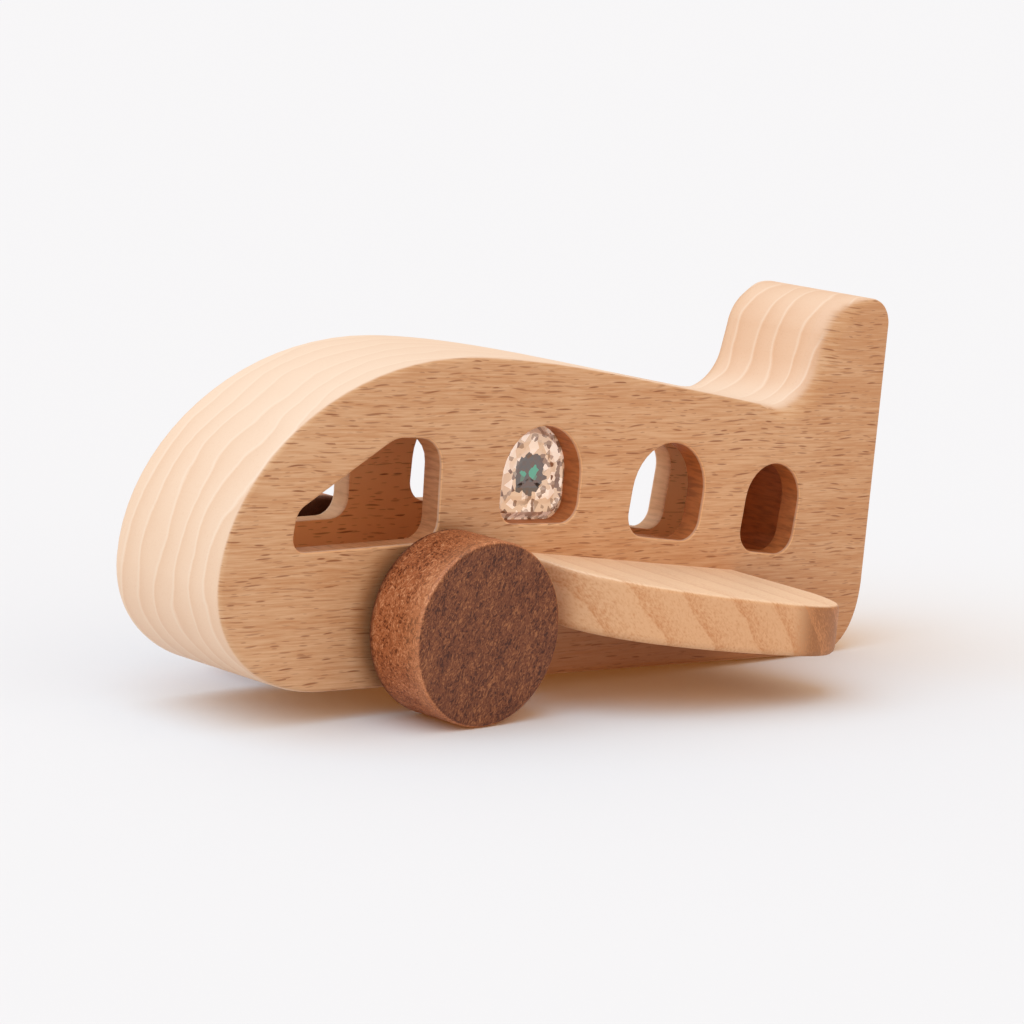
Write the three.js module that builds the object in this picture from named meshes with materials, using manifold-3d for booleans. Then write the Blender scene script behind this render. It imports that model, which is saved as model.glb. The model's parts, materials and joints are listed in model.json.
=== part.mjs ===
// A wooden toy aeroplane: a hollow laminated body with four windows a side, two wings and two wheels.
// Millimetres. +X runs to the nose, +Y to the port side, +Z up; the toy stands on z = 0.
// The body is drawn level, with its underside on z = 0, and is then pitched nose up until the
// wheels and the tail both touch the ground.
import * as THREE from "three";
import { mergeVertices } from "three/addons/utils/BufferGeometryUtils.js";
import Module from "manifold-3d";

// ---- Body outline, seen from the side ----
const BODY_LENGTH = 186.4;
const BODY_WIDTH = 34.4;
const DOME_HEIGHT = 68; // top of the rounded back
const DOME_FROM_NOSE = 61;
const NOSE_HEIGHT = 23; // height of the foremost point
const CHIN_FROM_NOSE = 29; // where the underside starts to rise
const NECK_HEIGHT = 57; // lowest point of the back, in front of the fin
const NECK_TO_FIN = 14.2; // from there to the front of the fin
const NECK_ROUND = 12;
const FIN_HEIGHT = 80.9;
const FIN_CHORD = 20.4; // front to back, at the top of the fin
const FIN_LEAN = 1.2; // how far its front edge leans back
const FIN_TOP_ROUND = 12.5; // corner at the front of its top
const FIN_REAR_ROUND = 6; // corner at the rear of its top
const TAIL_CORNER = 17; // height at which the rear edge starts to turn under
const TAIL_TUCK = 12; // length over which it turns under
// How far each curve's handles reach, as a share of its height or length.
const PULL = {
  chin: 0.42,
  noseUnder: 0.42,
  brow: 0.52,
  dome: 0.43,
  backFront: 0.27,
  backRear: 0.33,
  tail: 0.4,
  finFront: 0.4,
  finRear: 0.45,
};

// ---- Lamination ----
const PANEL_THICKNESS = 5.4;
const GLUE_GAP = 0.3;
const EDGE_ROUND = 1.2; // eased edge all round a side panel
const FIN_EDGE_ROUND = 5; // fuller rounding of the front and top of the fin
const RIM_ROUND = 0.7; // eased rim of a window
const CORE_WALL = 10; // wood above the hollow
const NOSE_WALL = 15; // wood in front of the hollow
const REAR_WALL_GAP = 4.5; // from the last window to the back of the hollow
const HOLLOW_FLOOR_FRONT = 24.5;
const HOLLOW_FLOOR_REAR = 21;
const HOLLOW_CORNER = 5;

// ---- Cockpit window: its lower rear corner is measured from the nose ----
const COCKPIT = {
  fromNose: 55.9,
  length: 38.2,
  sillRear: 29.9,
  sillFront: 28.8,
  rearHeight: 21.3,
  rearLean: 1,
  roofLength: 13.2,
  roofRise: 0.4,
  frontHeight: 8.4,
  frontLean: 0.8,
  corners: { sillRear: 4.5, sillFront: 3, windscreenFoot: 4, windscreenTop: 8, roofRear: 6 },
};

// ---- Cabin windows: middle measured from the nose, sill height, size, corner radius, lean in degrees ----
const CABIN_WINDOWS = [
  { fromNose: 83.6, sill: 32.8, width: 22.2, height: 20.6, corner: 4.6, lean: 1 },
  { fromNose: 121.4, sill: 28.3, width: 21.6, height: 20.9, corner: 5, lean: 6 },
  { fromNose: 153.8, sill: 24, width: 16.8, height: 20, corner: 5, lean: 6 },
];
// The rearmost window of the starboard side is narrower and sits further forward.
const STARBOARD_REAR_WINDOW = { fromNose: 143.4, sill: 24.8, width: 13, height: 20, corner: 4.4, lean: 6 };

// ---- Wheels and axle ----
const WHEEL_RADIUS = 19.2;
const WHEEL_WIDTH = 15.8;
const WHEEL_EDGE = 1.1;
const WHEEL_GAP = 2.6; // wheel to side panel
const AXLE_FROM_NOSE = 56;
const AXLE_HEIGHT = 14;
const AXLE_RADIUS = 4;
const RUNNING_CLEARANCE = 0.3;
const WHEEL_BORE_DEPTH = 10;

// ---- Wings: plan is given forward along X and outward from the side panel ----
const WING_BEHIND_WHEEL = 3.6; // from the wheel's rear to the leading edge
const WING_ROOT_CHORD = 65;
const WING_SPAN = 36.4; // one wing, from the panel outward
const WING_TOP = 27.1; // height of the top face at the leading edge
const WING_INCIDENCE = 5.7; // degrees, leading edge up
const WING_DROOP = 2.9; // degrees, tip down
const WING_THICKNESS = 12.6; // at the leading edge
const WING_THINNING = 1.4; // degrees, thinner towards the trailing edge
const WING_TIP_SWEEP = 4; // how far the trailing edge slants back at the tip
const WING_TOP_ROUND = 1;
const WING_UNDER_ROUND = 1.8;
const WING_TRIM = 8; // spare length at the root, cut off against the panel
// Where the plan's curves start, end and pull, as shares of the span and of the root chord.
const TIP_CURVE = {
  straightFront: 0.32,
  frontPullOut: 0.75,
  shoulderPullOut: 0.96,
  shoulderPullBack: 0.34,
  tipFromRear: 0.22,
  rearPull: 0.04,
  rearPullOut: 0.88,
  straightRear: 0.56,
};

// ---- Wing dowels ----
const DOWEL_RADIUS = 2.5;
const DOWEL_DEPTH = 16; // into each wing
const DOWEL_BELOW_MIDDLE = 1; // below the middle of the wing's thickness
const DOWEL_PLACES = [
  { name: "wing_dowel_front", behindLeadingEdge: 12.4 },
  { name: "wing_dowel_rear", behindLeadingEdge: 52.4 },
];

// ---- Crystal behind the second port window ----
const CRYSTAL_LAP = 1.6; // overlap behind the window's edge
const CRYSTAL_CROWN = 2;
const CRYSTAL_GIRDLE = 0.8;
const CRYSTAL_PAVILION = 4.6; // depth of the facets behind the rim
const CRYSTAL_CULET = 0.16; // size of the small flat at the back, against the opening

// ---- Places that follow from the sizes above ----
const NOSE_X = BODY_LENGTH / 2;
const TAIL_X = -BODY_LENGTH / 2;
const HALF_WIDTH = BODY_WIDTH / 2;
const PANEL_INNER = HALF_WIDTH - PANEL_THICKNESS;
const AXLE_X = NOSE_X - AXLE_FROM_NOSE;
const FIN_FRONT = TAIL_X + FIN_CHORD;
const FIN_TOP_FRONT = FIN_FRONT - Math.min(FIN_TOP_ROUND, FIN_CHORD - FIN_REAR_ROUND);
const NECK_X = FIN_FRONT + NECK_TO_FIN;
const DOME_X = NOSE_X - DOME_FROM_NOSE;
const WING_FRONT = AXLE_X - WHEEL_RADIUS - WING_BEHIND_WHEEL;
const INCIDENCE_SLOPE = Math.tan(THREE.MathUtils.degToRad(WING_INCIDENCE));
const DROOP_SLOPE = Math.tan(THREE.MathUtils.degToRad(WING_DROOP));
const THINNING_SLOPE = Math.tan(THREE.MathUtils.degToRad(WING_THINNING));
const DOWELS = DOWEL_PLACES.map(({ name, behindLeadingEdge }) => {
  const x = WING_FRONT - behindLeadingEdge;
  const middle = (wingTop(x, DOWEL_DEPTH / 2) + wingUnder(x, DOWEL_DEPTH / 2)) / 2;
  return { name, x, z: middle - DOWEL_BELOW_MIDDLE };
});

const wasm = await Module();
wasm.setup();

// ---- Outlines ----
// Side outline of the body, from the chin round the nose, over the back and the fin to the tail.
function bodyOutline() {
  const shape = new THREE.Shape();
  const noseRise = DOME_HEIGHT - NOSE_HEIGHT;
  const backLength = DOME_X - NECK_X;
  const finFrontTop = FIN_HEIGHT - FIN_TOP_ROUND * 0.76;
  shape.moveTo(NOSE_X - CHIN_FROM_NOSE, 0);
  shape.bezierCurveTo(
    NOSE_X - CHIN_FROM_NOSE * PULL.chin, 0, NOSE_X, NOSE_HEIGHT * PULL.noseUnder, NOSE_X, NOSE_HEIGHT);
  shape.bezierCurveTo(
    NOSE_X, NOSE_HEIGHT + noseRise * PULL.brow, NOSE_X - DOME_FROM_NOSE * PULL.dome, DOME_HEIGHT,
    DOME_X, DOME_HEIGHT);
  shape.bezierCurveTo(
    DOME_X - backLength * PULL.backFront, DOME_HEIGHT,
    NECK_X + backLength * PULL.backRear, NECK_HEIGHT + NECK_ROUND * 0.35, NECK_X, NECK_HEIGHT);
  shape.bezierCurveTo(
    NECK_X - NECK_ROUND * 0.5, NECK_HEIGHT - NECK_ROUND * 0.07, FIN_FRONT + 2 * FIN_LEAN,
    NECK_HEIGHT + NECK_ROUND * 0.25, FIN_FRONT + FIN_LEAN, NECK_HEIGHT + NECK_ROUND * 0.75);
  shape.lineTo(FIN_FRONT, finFrontTop);
  shape.bezierCurveTo(
    FIN_FRONT - FIN_LEAN * PULL.finFront, (finFrontTop + FIN_HEIGHT) / 2,
    FIN_FRONT - FIN_TOP_ROUND * PULL.finFront, FIN_HEIGHT, FIN_TOP_FRONT, FIN_HEIGHT);
  shape.lineTo(TAIL_X + FIN_REAR_ROUND, FIN_HEIGHT);
  shape.bezierCurveTo(
    TAIL_X + FIN_REAR_ROUND * PULL.finRear, FIN_HEIGHT,
    TAIL_X, FIN_HEIGHT - FIN_REAR_ROUND * PULL.finRear, TAIL_X, FIN_HEIGHT - FIN_REAR_ROUND);
  shape.lineTo(TAIL_X, TAIL_CORNER);
  shape.bezierCurveTo(
    TAIL_X, TAIL_CORNER * PULL.tail, TAIL_X + TAIL_TUCK * PULL.tail, 0, TAIL_X + TAIL_TUCK, 0);
  return loopOf(shape, 20);
}

// The shape's points as a counter-clockwise loop, with no two points together.
function loopOf(shape, divisions) {
  const points = shape.getPoints(divisions);
  const loop = points.filter((point, i) => point.distanceTo(points[(i + 1) % points.length]) > 1e-4);
  return THREE.ShapeUtils.isClockWise(loop) ? loop.reverse() : loop;
}

// A polygon whose corners are arcs. Each corner is x, z and its radius.
function roundedPolygon(corners) {
  const shape = new THREE.Shape();
  corners.forEach(([x, z, radius], i) => {
    const before = corners.at(i - 1);
    const after = corners[(i + 1) % corners.length];
    const corner = new THREE.Vector2(x, z);
    const back = new THREE.Vector2(before[0] - x, before[1] - z);
    const ahead = new THREE.Vector2(after[0] - x, after[1] - z);
    const half = Math.acos(back.dot(ahead) / (back.length() * ahead.length())) / 2;
    const reach = Math.min(radius / Math.tan(half), back.length() * 0.49, ahead.length() * 0.49);
    const start = back.setLength(reach).add(corner);
    const end = ahead.setLength(reach).add(corner);
    if (i === 0) {
      shape.moveTo(start.x, start.y);
    } else {
      shape.lineTo(start.x, start.y);
    }
    const pull = (4 / 3) * Math.tan((Math.PI / 2 - half) / 2) * Math.tan(half);
    const first = start.clone().lerp(corner, pull);
    const second = end.clone().lerp(corner, pull);
    shape.bezierCurveTo(first.x, first.y, second.x, second.y, end.x, end.y);
  });
  return loopOf(shape, 5);
}

// Window with a round head, a flat sill and rounded lower corners, leaning back by its angle.
function archWindow({ fromNose, sill, width, height, corner, lean }, divisions = 9) {
  const half = width / 2;
  const shape = new THREE.Shape();
  shape.moveTo(-half + corner, 0);
  shape.lineTo(half - corner, 0);
  shape.absarc(half - corner, corner, corner, -Math.PI / 2, 0, false);
  shape.absarc(0, height - half, half, 0, Math.PI, false);
  shape.absarc(-half + corner, corner, corner, Math.PI, Math.PI * 1.5, false);
  const pivot = new THREE.Vector2(0, height / 2);
  const place = new THREE.Vector2(NOSE_X - fromNose, sill);
  const turn = THREE.MathUtils.degToRad(lean);
  return loopOf(shape, divisions).map((point) => point.rotateAround(pivot, turn).add(place));
}

// Cockpit window: upright at the back, with a windscreen that slopes down to the front.
function cockpitWindow() {
  const { sillRear, sillFront, rearHeight, corners } = COCKPIT;
  const rear = NOSE_X - COCKPIT.fromNose;
  const front = rear + COCKPIT.length;
  const roof = sillRear + rearHeight;
  return roundedPolygon([
    [rear, sillRear, corners.sillRear],
    [front, sillFront, corners.sillFront],
    [front - COCKPIT.frontLean, sillFront + COCKPIT.frontHeight, corners.windscreenFoot],
    [rear + COCKPIT.roofLength, roof + COCKPIT.roofRise, corners.windscreenTop],
    [rear + COCKPIT.rearLean, roof, corners.roofRear],
  ]);
}

// A round bore, as a loop.
function bore(x, z, radius) {
  const shape = new THREE.Shape();
  shape.absarc(x, z, radius, 0, Math.PI * 2, false);
  return loopOf(shape, 16);
}

// Height of the body's back above a place along it.
function backHeight(outline, x) {
  let height = 0;
  outline.forEach((a, i) => {
    const b = outline[(i + 1) % outline.length];
    if ((a.x - x) * (b.x - x) <= 0 && a.x !== b.x) {
      height = Math.max(height, a.y + ((b.y - a.y) * (x - a.x)) / (b.x - a.x));
    }
  });
  return height;
}

// The hollow in the core: a sloping floor, a roof that follows the back, a wall behind the windows.
function hollow(outline) {
  const last = CABIN_WINDOWS.at(-1);
  const rear = NOSE_X - last.fromNose - last.width / 2 - REAR_WALL_GAP;
  const front = NOSE_X - NOSE_WALL;
  const corners = [[rear, HOLLOW_FLOOR_REAR, HOLLOW_CORNER], [front, HOLLOW_FLOOR_FRONT, HOLLOW_CORNER]];
  const roofSteps = 7;
  for (let i = 0; i <= roofSteps; i += 1) {
    const x = THREE.MathUtils.lerp(front, rear, i / roofSteps);
    corners.push([x, backHeight(outline, Math.max(x, NECK_X)) - CORE_WALL, HOLLOW_CORNER]);
  }
  return roundedPolygon(corners);
}

// Moves each point of a loop to its left by its own distance: inwards, on a counter-clockwise loop.
function inset(loop, distances) {
  return loop.map((point, i) => {
    const before = loop.at(i - 1);
    const after = loop[(i + 1) % loop.length];
    const arriving = point.clone().sub(before).normalize();
    const leaving = after.clone().sub(point).normalize();
    const normal = new THREE.Vector2(-arriving.y - leaving.y, arriving.x + leaving.x).normalize();
    const slant = Math.max(0.5, normal.dot(new THREE.Vector2(-arriving.y, arriving.x)));
    return point.clone().addScaledVector(normal, distances[i] / slant);
  });
}

// ---- Solids built from rings of points ----
// A layer is a loop with the point in space that each of its points stands for.
function layer(loop, place) {
  return { loop, points: loop.map(place) };
}

// Closes stacks of layers into one body. The first stack is the outside and the rest are holes.
function stackedSolid(stacks) {
  const corners = [];
  const addFace = (layers, order) => {
    const loops = layers.map(({ loop }) => loop);
    const points = layers.flatMap((one) => one.points);
    THREE.ShapeUtils.triangulateShape(loops[0], loops.slice(1)).forEach((triangle) => {
      order.forEach((k) => corners.push(...points[triangle[k]]));
    });
  };
  stacks.forEach((stack) => {
    stack.slice(1).forEach((upper, i) => {
      const lower = stack[i];
      lower.points.forEach((a, k) => {
        const next = (k + 1) % lower.points.length;
        corners.push(...a, ...upper.points[k], ...upper.points[next]);
        corners.push(...a, ...upper.points[next], ...lower.points[next]);
      });
    });
  });
  addFace(stacks.map((stack) => stack[0]), [0, 1, 2]);
  addFace(stacks.map((stack) => stack.at(-1)), [0, 2, 1]);
  const geometry = new THREE.BufferGeometry();
  geometry.setAttribute("position", new THREE.Float32BufferAttribute(corners, 3));
  return mergeVertices(geometry, 1e-4);
}

// Turns a body inside out, as a mirrored one needs.
function flipped(geometry) {
  const index = geometry.getIndex();
  for (let i = 0; i < index.count; i += 3) {
    const second = index.getX(i + 1);
    index.setX(i + 1, index.getX(i + 2));
    index.setX(i + 2, second);
  }
  return geometry;
}

function toSolid(geometry) {
  const bare = geometry.clone();
  bare.deleteAttribute("normal");
  bare.deleteAttribute("uv");
  const merged = mergeVertices(bare, 1e-4);
  return new wasm.Manifold(new wasm.Mesh({
    numProp: 3,
    vertProperties: new Float32Array(merged.getAttribute("position").array),
    triVerts: new Uint32Array(merged.getIndex().array),
  }));
}

function toGeometry(solid) {
  const mesh = solid.getMesh();
  const geometry = new THREE.BufferGeometry();
  geometry.setAttribute("position", new THREE.Float32BufferAttribute(mesh.vertProperties, 3));
  geometry.setIndex(new THREE.Uint32BufferAttribute(mesh.triVerts, 1));
  return geometry;
}

// ---- Body ----
// Layers of a side panel's loop: straight from the glued face, then rounded over at the outer face.
function roundedStack(loop, rounds) {
  const stack = [layer(loop, (p) => [p.x, PANEL_INNER, p.y])];
  [0, 30, 60, 90].forEach((degrees) => {
    const angle = THREE.MathUtils.degToRad(degrees);
    const shrunk = inset(loop, rounds.map((round) => round * (1 - Math.cos(angle))));
    stack.push(layer(shrunk, (p, i) => [p.x, HALF_WIDTH - rounds[i] * (1 - Math.sin(angle)), p.y]));
  });
  return stack;
}

// One side of the body, flat on its glued face, with rounded outer edges and window rims.
function sidePanel(outline, windows, bores, side) {
  const finRound = Math.min(FIN_EDGE_ROUND, PANEL_THICKNESS - GLUE_GAP);
  const rounds = outline.map((point) => {
    const fromNeck = THREE.MathUtils.smoothstep(-point.x, -NECK_X - NECK_ROUND / 2, -NECK_X + NECK_ROUND / 2);
    const fromRear = THREE.MathUtils.smoothstep(point.x, TAIL_X + FIN_REAR_ROUND, FIN_FRONT - FIN_TOP_ROUND / 3);
    return THREE.MathUtils.lerp(EDGE_ROUND, finRound, point.y > NECK_HEIGHT / 2 ? fromNeck * fromRear : 0);
  });
  const stacks = [roundedStack(outline, rounds)];
  windows.forEach((loop) => {
    stacks.push(roundedStack(loop.toReversed(), loop.map(() => RIM_ROUND)));
  });
  bores.forEach((loop) => {
    stacks.push([PANEL_INNER, HALF_WIDTH].map((y) => layer(loop.toReversed(), (p) => [p.x, y, p.y])));
  });
  const geometry = stackedSolid(stacks);
  return side > 0 ? geometry : flipped(geometry.scale(1, -1, 1));
}

// The middle of the body: a frame of the same outline round the hollow.
function core(outline, openings) {
  const half = PANEL_INNER - GLUE_GAP;
  const stackOf = (loop) => [-half, half].map((y) => layer(loop, (p) => [p.x, y, p.y]));
  return stackedSolid([stackOf(outline), ...openings.map((loop) => stackOf(loop.toReversed()))]);
}

// ---- Wings ----
// Height of a wing's two flat faces, at a place along the body and outward from the panel.
function wingTop(x, y) {
  return WING_TOP + INCIDENCE_SLOPE * (x - WING_FRONT) - DROOP_SLOPE * y;
}

function wingUnder(x, y) {
  return wingTop(x, y) - WING_THICKNESS - THINNING_SLOPE * (x - WING_FRONT);
}

// Plan of a wing: x forward, y outward from the side panel; it runs inboard a little, to be trimmed.
function wingPlan() {
  const front = WING_FRONT;
  const chord = WING_ROOT_CHORD;
  const rear = front - chord;
  const span = WING_SPAN;
  const shape = new THREE.Shape();
  shape.moveTo(rear, -WING_TRIM);
  shape.lineTo(front, -WING_TRIM);
  shape.lineTo(front, span * TIP_CURVE.straightFront);
  shape.bezierCurveTo(
    front, span * TIP_CURVE.frontPullOut,
    front - chord * TIP_CURVE.shoulderPullBack, span * TIP_CURVE.shoulderPullOut,
    rear + chord * TIP_CURVE.tipFromRear, span);
  shape.bezierCurveTo(
    rear + chord * TIP_CURVE.rearPull, span, rear - WING_TIP_SWEEP, span * TIP_CURVE.rearPullOut,
    rear - WING_TIP_SWEEP, span * TIP_CURVE.straightRear);
  shape.lineTo(rear, 0);
  return loopOf(shape, 14);
}

// A wing: its top and underside are flat, each at its own angle, and its edges are rounded.
function wing(side) {
  const plan = wingPlan();
  const wingLayer = (round, angle, height) => {
    const shrunk = inset(plan, plan.map(() => round * (1 - Math.cos(angle))));
    return layer(shrunk, (p) => [p.x, HALF_WIDTH + p.y, height(p)]);
  };
  const angles = [0, 30, 60, 90].map(THREE.MathUtils.degToRad);
  const lower = angles.map((angle) => wingLayer(WING_UNDER_ROUND, angle,
    (p) => wingUnder(p.x, p.y) + WING_UNDER_ROUND * (1 - Math.sin(angle))));
  const upper = angles.map((angle) => wingLayer(WING_TOP_ROUND, angle,
    (p) => wingTop(p.x, p.y) - WING_TOP_ROUND * (1 - Math.sin(angle))));
  const blank = flipped(stackedSolid([[...lower.reverse(), ...upper]]));
  const inboard = new THREE.BoxGeometry(BODY_LENGTH, BODY_WIDTH, BODY_LENGTH);
  inboard.translate(0, GLUE_GAP, 0);
  let solid = toSolid(blank).subtract(toSolid(inboard));
  DOWELS.forEach(({ x, z }) => {
    const drill = new THREE.CylinderGeometry(
      DOWEL_RADIUS + GLUE_GAP, DOWEL_RADIUS + GLUE_GAP, 2 * (DOWEL_DEPTH + GLUE_GAP), 24);
    drill.translate(x, HALF_WIDTH, z);
    solid = solid.subtract(toSolid(drill));
  });
  const geometry = toGeometry(solid);
  return side > 0 ? geometry : flipped(geometry.scale(1, -1, 1));
}

// ---- Crystal ----
// A cut stone that laps behind the window: a flat rim, a low crown in the opening, facets behind.
function crystal() {
  const window = CABIN_WINDOWS[0];
  const opening = archWindow(window, 4);
  const middle = new THREE.Vector2(NOSE_X - window.fromNose, window.sill + window.height / 2);
  const face = PANEL_INNER - GLUE_GAP;
  const ring = (scale, y) => {
    const loop = opening.map((point) => point.clone().sub(middle).multiplyScalar(scale).add(middle));
    return layer(loop, (p) => [p.x, y, p.y]);
  };
  const reach = (distance) => 1 + distance / (window.width / 2);
  return stackedSolid([[
    ring(CRYSTAL_CULET, face - CRYSTAL_GIRDLE - CRYSTAL_PAVILION),
    ring((reach(CRYSTAL_LAP) + CRYSTAL_CULET) / 2, face - CRYSTAL_GIRDLE - CRYSTAL_PAVILION * 0.6),
    ring(reach(CRYSTAL_LAP), face - CRYSTAL_GIRDLE),
    ring(reach(CRYSTAL_LAP), face),
    ring(reach(-GLUE_GAP), face),
    ring(reach(-CRYSTAL_CROWN), face + CRYSTAL_CROWN),
  ]]);
}

// ---- Wheels ----
// A wheel with rounded edges and a blind bore in its inner face; it is turned about Y.
function wheel(side) {
  const inner = HALF_WIDTH + WHEEL_GAP;
  const outer = inner + WHEEL_WIDTH;
  const profile = [
    new THREE.Vector2(0, inner + WHEEL_BORE_DEPTH),
    new THREE.Vector2(AXLE_RADIUS + GLUE_GAP, inner + WHEEL_BORE_DEPTH),
    new THREE.Vector2(AXLE_RADIUS + GLUE_GAP, inner),
  ];
  [[inner + WHEEL_EDGE, -90], [outer - WHEEL_EDGE, 0]].forEach(([y, from]) => {
    [0, 30, 60, 90].forEach((degrees) => {
      const angle = THREE.MathUtils.degToRad(from + degrees);
      profile.push(new THREE.Vector2(
        WHEEL_RADIUS - WHEEL_EDGE * (1 - Math.cos(angle)), y + WHEEL_EDGE * Math.sin(angle)));
    });
  });
  profile.push(new THREE.Vector2(0, outer));
  const geometry = new THREE.LatheGeometry(profile, 60);
  return side > 0 ? geometry : flipped(geometry.scale(1, -1, 1));
}

function rod(radius, halfLength) {
  return new THREE.CylinderGeometry(radius, radius, 2 * halfLength, 32);
}

// ---- Materials ----
const wood = (color, roughness) => new THREE.MeshStandardMaterial({ color, roughness, metalness: 0 });
const panelBeech = wood(0xcfa077, 0.55);
const coreBeech = wood(0xf0cda8, 0.58);
const wingBeech = wood(0xe2b78e, 0.56);
const dowelBeech = wood(0xd9b48c, 0.6);
const walnut = wood(0x6f4632, 0.5);
const crystalGlass = new THREE.MeshStandardMaterial({ color: 0xe9dfd6, roughness: 0.05, metalness: 0 });

// ---- Assembly ----
// Pitch that brings the first point of the tail to the ground with the wheels.
function groundPitch(loop) {
  const pitches = loop.filter((point) => point.x < 0).map((point) => {
    const length = AXLE_X - point.x;
    const drop = AXLE_HEIGHT - point.y;
    return Math.asin(WHEEL_RADIUS / Math.hypot(length, drop)) - Math.atan2(drop, length);
  });
  return Math.min(...pitches);
}

const body = new THREE.Group();

function add(name, geometry, material, x = 0, z = 0) {
  geometry.computeVertexNormals();
  const mesh = new THREE.Mesh(geometry, material);
  mesh.name = name;
  mesh.position.set(x, 0, z);
  body.add(mesh);
}

const outline = bodyOutline();
const dowelBores = DOWELS.map(({ x, z }) => bore(x, z, DOWEL_RADIUS + GLUE_GAP));
const axleBore = bore(AXLE_X, AXLE_HEIGHT, AXLE_RADIUS + RUNNING_CLEARANCE);
const bores = [axleBore, ...dowelBores];
const portWindows = [cockpitWindow(), ...CABIN_WINDOWS.map((window) => archWindow(window))];
const starboardWindows = [...portWindows.slice(0, -1), archWindow(STARBOARD_REAR_WINDOW)];

add("port_side_panel", sidePanel(outline, portWindows, bores, 1), panelBeech);
add("starboard_side_panel", sidePanel(outline, starboardWindows, bores, -1), panelBeech);
add("fuselage_core", core(outline, [hollow(outline), ...bores]), coreBeech);
add("window_crystal", crystal(), crystalGlass);
add("port_wing", wing(1), wingBeech);
add("starboard_wing", wing(-1), wingBeech);
DOWELS.forEach(({ name, x, z }) => {
  add(name, rod(DOWEL_RADIUS, HALF_WIDTH + DOWEL_DEPTH), dowelBeech, x, z);
});
const axleHalf = HALF_WIDTH + WHEEL_GAP + WHEEL_BORE_DEPTH - GLUE_GAP;
add("axle", rod(AXLE_RADIUS, axleHalf), dowelBeech, AXLE_X, AXLE_HEIGHT);
add("port_wheel", wheel(1), walnut, AXLE_X, AXLE_HEIGHT);
add("starboard_wheel", wheel(-1), walnut, AXLE_X, AXLE_HEIGHT);

const plane = new THREE.Group();
plane.add(body);
body.rotation.y = -groundPitch(outline);
plane.updateMatrixWorld(true);
const box = new THREE.Box3().setFromObject(plane, true);
body.position.set(-(box.min.x + box.max.x) / 2, 0, -box.min.z);

export default plane;
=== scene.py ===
"""A wooden toy aeroplane: three laminated boards, two wings, two walnut wheels and a cut crystal.

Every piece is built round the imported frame, in metres, with +X to the nose and +Z up.
"""

import json
import math

import bmesh
import bpy
from bpy.props import FloatProperty, FloatVectorProperty, IntProperty, PointerProperty
from mathutils import Matrix, Vector


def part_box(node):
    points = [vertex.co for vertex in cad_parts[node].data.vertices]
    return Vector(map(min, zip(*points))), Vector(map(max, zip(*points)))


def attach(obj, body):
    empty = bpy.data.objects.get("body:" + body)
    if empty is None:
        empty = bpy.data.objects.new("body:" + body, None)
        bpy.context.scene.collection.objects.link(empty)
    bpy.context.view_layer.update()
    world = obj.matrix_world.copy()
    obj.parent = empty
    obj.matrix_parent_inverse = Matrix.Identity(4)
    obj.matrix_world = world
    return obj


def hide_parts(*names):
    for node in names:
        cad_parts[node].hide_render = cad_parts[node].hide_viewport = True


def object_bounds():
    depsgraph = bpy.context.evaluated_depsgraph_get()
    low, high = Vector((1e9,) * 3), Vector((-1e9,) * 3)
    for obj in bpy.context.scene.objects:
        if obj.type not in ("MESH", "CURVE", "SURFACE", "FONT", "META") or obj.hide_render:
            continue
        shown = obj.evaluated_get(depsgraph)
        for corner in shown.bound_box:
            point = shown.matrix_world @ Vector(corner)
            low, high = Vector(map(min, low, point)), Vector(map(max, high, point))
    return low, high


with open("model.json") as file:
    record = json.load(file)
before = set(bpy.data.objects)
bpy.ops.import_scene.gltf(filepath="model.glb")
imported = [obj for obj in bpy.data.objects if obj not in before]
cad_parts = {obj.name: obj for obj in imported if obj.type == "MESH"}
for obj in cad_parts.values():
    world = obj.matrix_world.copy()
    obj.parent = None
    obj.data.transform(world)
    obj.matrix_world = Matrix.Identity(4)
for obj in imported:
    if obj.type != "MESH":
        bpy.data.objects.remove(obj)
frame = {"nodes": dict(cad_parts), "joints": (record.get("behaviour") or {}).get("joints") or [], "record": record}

bl_info = {
    "name": "Wooden toy aeroplane",
    "version": (1, 0, 0),
    "blender": (4, 5, 0),
    "location": "View3D > Sidebar > Toy plane",
    "description": "Builds the looks of a wooden toy aeroplane round its packed frame",
    "category": "Object",
}

CAD_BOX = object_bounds()
MM = 0.001
FLUSH = 0.01 * MM  # how far two glued faces run into each other, so that no line shows
RIM = 0.45  # how much of a wall's colour the eased rim of a window has
SHEEN = 0.35  # specular level of oiled wood
WHEEL_SIDES = 144
ROD_SIDES = 48
FLUTE_EVERY = 4  # one flute on each fourth side of a dowel

# Where the finishes, the painted light and the painted shade change, in millimetres forward of the toy's middle,
# or up or to port of it.
FIN_SPAN = (-72.0, -55.0)
STREAK_SPAN = (-100.0, -50.0)
# Painted shade low on the broad faces, under the wings:
SHADE_UP = (2.0, 36.0)
SHADE_BEHIND = (-90.0, -60.0)
SHADE_AHEAD = (10.0, 38.0)
# Painted light on the walls of the cockpit and of the far board:
COCKPIT_SPAN = (25.0, 34.0)
FAR_BOARD_SPAN = (-13.0, -11.0)
WHEEL_SHADE_RING = (-1.0, 3.2)  # painted shade on the board round the wheel, out from the wheel's edge
WING_TIP_SPAN = (-37.0, -29.0)
WING_RING_WIDTH = 7.4
WING_RING_UP = 0.64  # how the growth rings slope through a wing
WING_RING_BACK = 0.77
TREAD_HIGHLIGHT_WIDTH = 7  # width of the painted highlight along the outer lip of a tread
TREAD_SHADE = (0.3, 2.4)  # painted shade of the gap by the board, out from the wheel's inner face
WALNUT_TURN = math.radians(28)
LARGE_SHARD = 1.9
SMALL_SHARD = 0.95
HEART_EDGE = (4.6, 4.7)

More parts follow.
